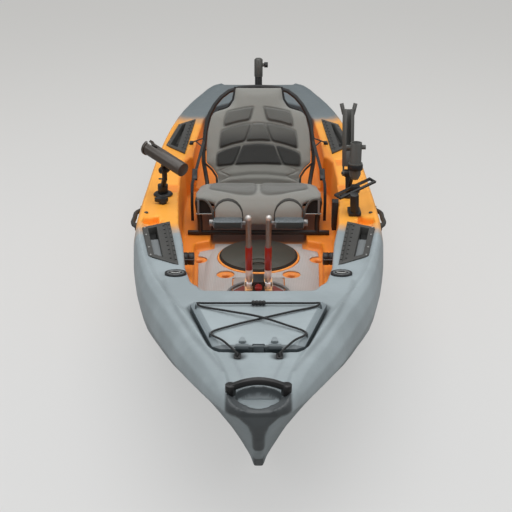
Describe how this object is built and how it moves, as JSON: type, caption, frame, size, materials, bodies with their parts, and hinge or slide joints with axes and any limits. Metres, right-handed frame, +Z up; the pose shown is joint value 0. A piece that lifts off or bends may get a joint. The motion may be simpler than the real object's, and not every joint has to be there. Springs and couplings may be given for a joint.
{
  "type": "pedal kayak",
  "caption": "Sit-on-top pedal kayak with a framed seat, a fin pedal drive, hatches, gear trays, rod holders and a rudder.",
  "frame": {"origin": "on the ground under the middle of the whole craft's box", "axes": "+Z up, the bow points to -Y and +X is to the right as seen from the bow, so node names with left lie at -X"},
  "size_m": [0.9718, 3.62, 0.7478],
  "materials": {
    "hull_plastic": "rotomoulded polyethylene, light grey ends blending to an orange middle",
    "foam_mat": "closed-cell foam, fine texture",
    "tray_plastic": "moulded, fine texture",
    "black_plastic": "moulded, satin",
    "hatch_plastic": "moulded, satin",
    "orange_plastic": "moulded, satin",
    "black_rubber": "matt",
    "cord": "braided",
    "webbing": "woven",
    "red_plastic": "anodised look",
    "crank_metal": "polished",
    "pedal_plastic": "moulded, speckled",
    "seat_tube": "powder coated",
    "seat_fabric": "woven mesh over foam",
    "holder_plastic": "moulded, satin"
  },
  "bodies": {
    "body": {"hull": "hull_plastic", "floor_mat": "foam_mat", "hatch_rim": "orange_plastic", "bow_hatch_seal": "black_rubber", "bow_hatch_hinge": "black_plastic", "pad_eye_left": "black_plastic", "pad_eye_right": "black_plastic", "bow_handle": "black_plastic", "side_handle_left": "black_rubber", "side_handle_right": "black_rubber", "tray_front_left": "tray_plastic", "tray_front_right": "tray_plastic", "tray_rear_left": "tray_plastic", "tray_rear_right": "tray_plastic", "deck_fitting_left": "black_plastic", "deck_fitting_right": "black_plastic", "wall_cleat_left": "black_plastic", "wall_cleat_right": "black_plastic", "drive_spine": "black_plastic", "seat_frame": "seat_tube", "seat_cushion": "seat_fabric", "back_strap_left": "webbing", "back_cord_left": "cord", "back_strap_right": "webbing", "back_cord_right": "cord", "rod_base": "black_plastic", "holder_clamp": "black_plastic", "short_tube": "holder_plastic", "gear_post": "black_plastic", "wall_bracket": "black_plastic", "stern_base": "black_plastic", "rudder_bracket": "black_plastic"},
    "hatch_lid": {"hatch_lid": "hatch_plastic"},
    "bow_lid": {"bow_hatch_lid": "hull_plastic", "bow_shock_cord": "cord", "bow_cord_toggle": "black_plastic"},
    "dial": {"drive_dial": "red_plastic"},
    "crank_left": {"crank_left": "crank_metal", "crank_sleeve_left": "red_plastic"},
    "crank_right": {"crank_right": "crank_metal", "crank_sleeve_right": "red_plastic"},
    "pedal_left": {"pedal_left": "pedal_plastic", "pedal_strap_left": "black_rubber"},
    "pedal_right": {"pedal_right": "pedal_plastic", "pedal_strap_right": "black_rubber"},
    "fin_drum_left": {"fin_drum_left": "black_plastic"},
    "fin_drum_right": {"fin_drum_right": "black_plastic"},
    "fin_left": {"fin_left": "black_rubber"},
    "fin_right": {"fin_right": "black_rubber"},
    "backrest": {"backrest_frame": "seat_tube", "backrest_pad": "seat_fabric"},
    "steering_lever": {"steering_lever": "black_plastic"},
    "rod_arm": {"rod_arm": "black_plastic"},
    "rod_tube": {"rod_tube": "holder_plastic"},
    "tall_tube": {"tall_tube": "holder_plastic"},
    "gear_frame": {"gear_frame": "black_plastic"},
    "stern_clamp": {"stern_clamp": "black_plastic"},
    "stern_knob": {"stern_knob": "black_plastic"},
    "rudder_head": {"rudder_head": "black_plastic"},
    "rudder_blade": {"rudder_blade": "black_rubber"}
  },
  "joints": [
    {"name": "hatch_lid_twist", "type": "hinge", "parent": "body", "child": "hatch_lid", "pos_m": [0, -0.32484, 0.19], "axis": [0, 0, 1], "range_deg": [0, 90]},
    {"name": "bow_lid_open", "type": "hinge", "parent": "body", "child": "bow_lid", "pos_m": [0, -1.51899, 0.45551], "axis": [1, 0, 0], "range_deg": [0, 100], "deforming": ["bow_shock_cord"]},
    {"name": "dial_turn", "type": "hinge", "parent": "body", "child": "dial", "pos_m": [0, -0.63887, 0.2303], "axis": [0, 1, 0], "range_deg": [-45, 45]},
    {"name": "crank_left_swing", "type": "hinge", "parent": "body", "child": "crank_left", "pos_m": [0, -0.63887, 0.2243], "axis": [1, 0, 0], "range_deg": [-22, 22]},
    {"name": "crank_right_swing", "type": "hinge", "parent": "body", "child": "crank_right", "pos_m": [0, -0.63887, 0.2243], "axis": [1, 0, 0], "range_deg": [-22, 22]},
    {"name": "pedal_left_tilt", "type": "hinge", "parent": "crank_left", "child": "pedal_left", "pos_m": [0, -0.67422, 0.47326], "axis": [1, 0, 0], "range_deg": [-40, 40]},
    {"name": "pedal_right_tilt", "type": "hinge", "parent": "crank_right", "child": "pedal_right", "pos_m": [0, -0.67422, 0.47326], "axis": [1, 0, 0], "range_deg": [-40, 40]},
    {"name": "fin_drum_left_roll", "type": "hinge", "parent": "body", "child": "fin_drum_left", "pos_m": [-0.05, -0.59488, 0.056], "axis": [0, 1, 0], "range_deg": [-44, 44]},
    {"name": "fin_drum_right_roll", "type": "hinge", "parent": "body", "child": "fin_drum_right", "pos_m": [0.05, -0.59488, 0.056], "axis": [0, 1, 0], "range_deg": [-44, 44]},
    {"name": "fin_left_fold", "type": "hinge", "parent": "fin_drum_left", "child": "fin_left", "pos_m": [-0.05, -0.59488, 0.056], "axis": [-1, 0, 0], "range_deg": [0, 90]},
    {"name": "fin_right_fold", "type": "hinge", "parent": "fin_drum_right", "child": "fin_right", "pos_m": [0.05, -0.59488, 0.056], "axis": [-1, 0, 0], "range_deg": [0, 90]},
    {"name": "backrest_recline", "type": "hinge", "parent": "body", "child": "backrest", "pos_m": [0, 0.12799, 0.3013], "axis": [1, 0, 0], "range_deg": [-10, 37], "deforming": ["back_strap_left", "back_strap_right", "back_cord_left", "back_cord_right"]},
    {"name": "steering_lever_turn", "type": "hinge", "parent": "body", "child": "steering_lever", "pos_m": [-0.36432, -0.29361, 0.40063], "axis": [0, 0, 1], "range_deg": [-38, 38]},
    {"name": "rod_arm_swivel", "type": "hinge", "parent": "body", "child": "rod_arm", "pos_m": [-0.37398, -0.18604, 0.39663], "axis": [0, 0, 1], "range_deg": [-60, 90]},
    {"name": "rod_tube_tilt", "type": "hinge", "parent": "rod_arm", "child": "rod_tube", "pos_m": [-0.36018, -0.23462, 0.5198], "axis": [0.6691, 0.7431, 0], "range_deg": [-20, 35]},
    {"name": "tall_tube_tilt", "type": "hinge", "parent": "body", "child": "tall_tube", "pos_m": [0.3473, -0.18257, 0.48852], "axis": [1, 0, 0], "range_deg": [-35, 16]},
    {"name": "gear_frame_swivel", "type": "hinge", "parent": "body", "child": "gear_frame", "pos_m": [0.35696, -0.38383, 0.49588], "axis": [0, 0, 1], "range_deg": [-20, 20]},
    {"name": "stern_clamp_swivel", "type": "hinge", "parent": "body", "child": "stern_clamp", "pos_m": [0, 1.50038, 0.4876], "axis": [0, 0, 1], "range_deg": [-90, 90]},
    {"name": "stern_knob_turn", "type": "hinge", "parent": "stern_clamp", "child": "stern_knob", "pos_m": [0.023, 1.50038, 0.552], "axis": [1, 0, 0], "range_deg": [0, 270]},
    {"name": "rudder_steer", "type": "hinge", "parent": "body", "child": "rudder_head", "pos_m": [0, 1.69, 0.2369], "axis": [0, 0, 1], "range_deg": [-38, 38]},
    {"name": "rudder_kick_up", "type": "hinge", "parent": "rudder_head", "child": "rudder_blade", "pos_m": [0, 1.736, 0.3013], "axis": [1, 0, 0], "range_deg": [0, 100]}
  ],
  "couplings": [
    {"joint": "crank_right_swing", "follows": "crank_left_swing", "ratio": -1},
    {"joint": "fin_drum_left_roll", "follows": "crank_left_swing", "ratio": 2},
    {"joint": "fin_drum_right_roll", "follows": "crank_left_swing", "ratio": 2},
    {"joint": "rudder_steer", "follows": "steering_lever_turn", "ratio": 1}
  ]
}
